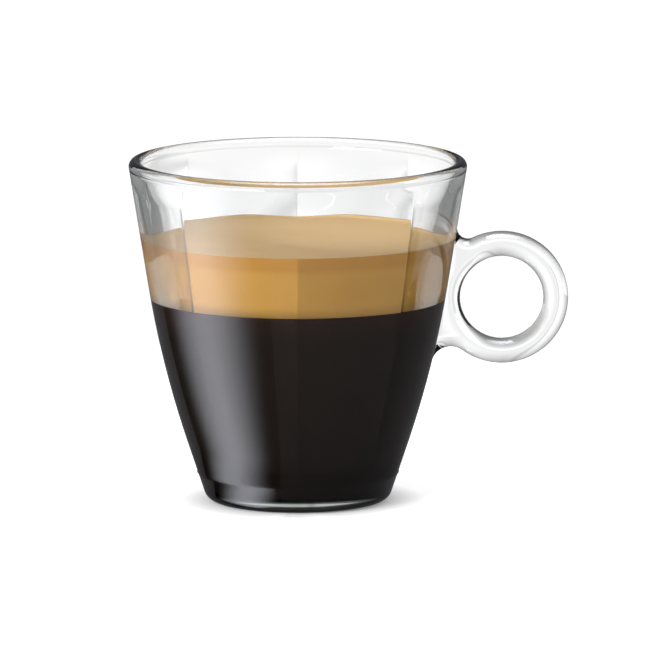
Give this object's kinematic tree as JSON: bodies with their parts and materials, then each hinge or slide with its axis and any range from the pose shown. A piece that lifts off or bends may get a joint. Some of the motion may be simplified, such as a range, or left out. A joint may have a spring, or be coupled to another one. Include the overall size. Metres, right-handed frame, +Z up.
{
  "type": "espresso cup",
  "caption": "Clear glass espresso cup with a finger-ring handle and a panelled inside wall, holding an espresso under a deep crema.",
  "frame": {"origin": "middle of the flat underside, on the cup's axis, at the height of the table", "axes": "+Z up along the cup's axis, +X out through the ring handle, the handle lies in the XZ plane"},
  "size_m": [0.0888, 0.0684, 0.0695],
  "materials": {
    "body_glass": "polished",
    "handle_glass": "polished",
    "coffee": "gloss",
    "coffee_foam": "satin"
  },
  "bodies": {
    "root": {"cup_body": "body_glass", "ring_handle": "handle_glass", "espresso": "coffee", "crema": "coffee_foam"}
  },
  "joints": []
}
